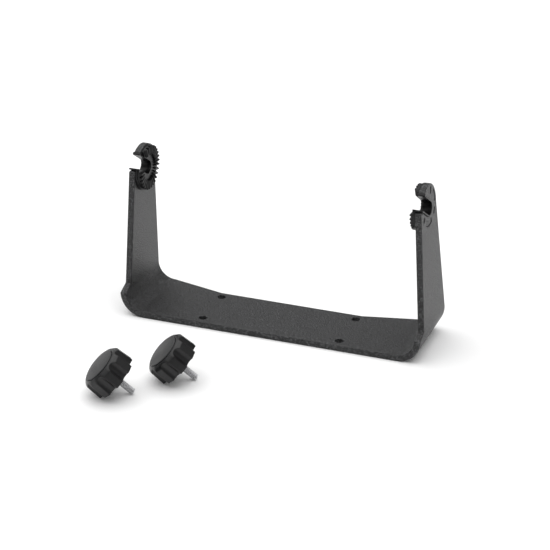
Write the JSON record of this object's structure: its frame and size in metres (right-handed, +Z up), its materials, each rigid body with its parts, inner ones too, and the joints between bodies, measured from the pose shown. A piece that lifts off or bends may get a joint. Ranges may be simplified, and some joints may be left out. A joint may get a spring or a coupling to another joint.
{
  "type": "chartplotter display mounting bracket",
  "caption": "U-shaped bail bracket with slotted ratchet inserts and two loose clamping knobs, for holding a chartplotter display at a set tilt.",
  "frame": {"origin": "centre of the four base screw holes, on the underside of the base", "axes": "+X along the base to the right arm, +Y to the rear (the slots open towards -Y), +Z up through the base holes"},
  "size_m": [0.2926, 0.2473, 0.1596],
  "materials": {
    "powder_coat": "textured dark grey powder coat, fine wrinkle, low sheen",
    "ratchet_plastic": "black moulded nylon, slight sheen",
    "knob_plastic": "black moulded plastic, satin",
    "cap_plastic": "black moulded plastic, fine satin",
    "stud_steel": "stainless steel, rolled thread"
  },
  "bodies": {
    "bracket": {"bracket": "powder_coat", "left_ratchet": "ratchet_plastic", "right_ratchet": "ratchet_plastic"},
    "left_knob": {"left_knob_grip": "knob_plastic", "left_knob_cap": "cap_plastic", "left_knob_stud": "stud_steel"},
    "right_knob": {"right_knob_grip": "knob_plastic", "right_knob_cap": "cap_plastic", "right_knob_stud": "stud_steel"}
  },
  "joints": [
    {"name": "left_knob_turn", "type": "hinge", "parent": "bracket", "child": "left_knob", "pos_m": [-0.0855, -0.1778, 0.01597], "axis": [0.6569, 0.3022, -0.6907], "continuous": true},
    {"name": "right_knob_turn", "type": "hinge", "parent": "bracket", "child": "right_knob", "pos_m": [-0.0442, -0.1342, 0.01597], "axis": [0.6569, 0.3022, -0.6907], "continuous": true}
  ]
}
